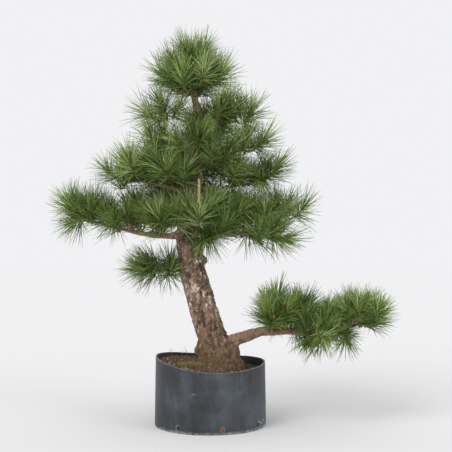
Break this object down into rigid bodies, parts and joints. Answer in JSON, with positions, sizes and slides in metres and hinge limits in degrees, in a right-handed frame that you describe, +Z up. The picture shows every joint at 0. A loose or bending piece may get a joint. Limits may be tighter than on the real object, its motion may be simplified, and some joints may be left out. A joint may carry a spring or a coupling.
{
  "type": "bonsai tree in a pot",
  "caption": "Long-needled pine bonsai with a thick leaning trunk, layered needle pads and one low arm reaching sideways, in a plain round cut-down nursery tub with soil.",
  "frame": {"origin": "middle of the pot's flat base, on the surface that it stands on", "axes": "+Z up; +X towards the low arm; -Y is the front, from which the trunk leans left and the low arm reaches right"},
  "size_m": [0.8596, 0.3669, 0.9858],
  "materials": {
    "pot": "weathered slate-grey polypropylene with pale lime marks",
    "soil": "dark red-brown gritty bonsai mix, matt",
    "bark": "flaking plated bark, matt",
    "needles": "green pine needles with a faint waxy sheen",
    "candle": "yellow-green young shoot, matt",
    "sprig": "fresh green seedling, matt",
    "dry_moss": "dry straw-coloured moss, matt"
  },
  "bodies": {
    "root": {"candle_1": "candle", "candle_2": "candle", "dry_moss": "dry_moss", "needles_back_low_1": "needles", "needles_back_low_2": "needles", "needles_back_low_3": "needles", "needles_back_mid_1": "needles", "needles_back_mid_2": "needles", "needles_back_right_low_1": "needles", "needles_back_right_low_2": "needles", "needles_back_upper_1": "needles", "needles_crown_1": "needles", "needles_crown_2": "needles", "needles_crown_3": "needles", "needles_crown_4": "needles", "needles_crown_5": "needles", "needles_front_low_1": "needles", "needles_front_low_2": "needles", "needles_front_mid_1": "needles", "needles_front_upper_1": "needles", "needles_left_back_1": "needles", "needles_left_back_2": "needles", "needles_left_low_1": "needles", "needles_left_low_2": "needles", "needles_left_low_3": "needles", "needles_left_low_4": "needles", "needles_left_low_5": "needles", "needles_left_mid_1": "needles", "needles_left_mid_2": "needles", "needles_left_mid_3": "needles", "needles_left_top_1": "needles", "needles_left_upper_1": "needles", "needles_low_right_1": "needles", "needles_low_right_2": "needles", "needles_low_right_3": "needles", "needles_low_right_4": "needles", "needles_low_right_5": "needles", "needles_low_right_6": "needles", "needles_right_long_1": "needles", "needles_right_long_2": "needles", "needles_right_long_3": "needles", "needles_right_long_4": "needles", "needles_right_low_1": "needles", "needles_right_low_2": "needles", "needles_right_low_3": "needles", "needles_right_mid_1": "needles", "needles_right_mid_2": "needles", "needles_right_mid_3": "needles", "needles_right_top_1": "needles", "needles_right_top_2": "needles", "needles_right_upper_1": "needles", "needles_right_upper_2": "needles", "nursery_pot": "pot", "soil": "soil", "sprig_1": "sprig", "sprig_2": "sprig", "sprig_3": "sprig", "trunk_and_branches": "bark"}
  },
  "joints": []
}
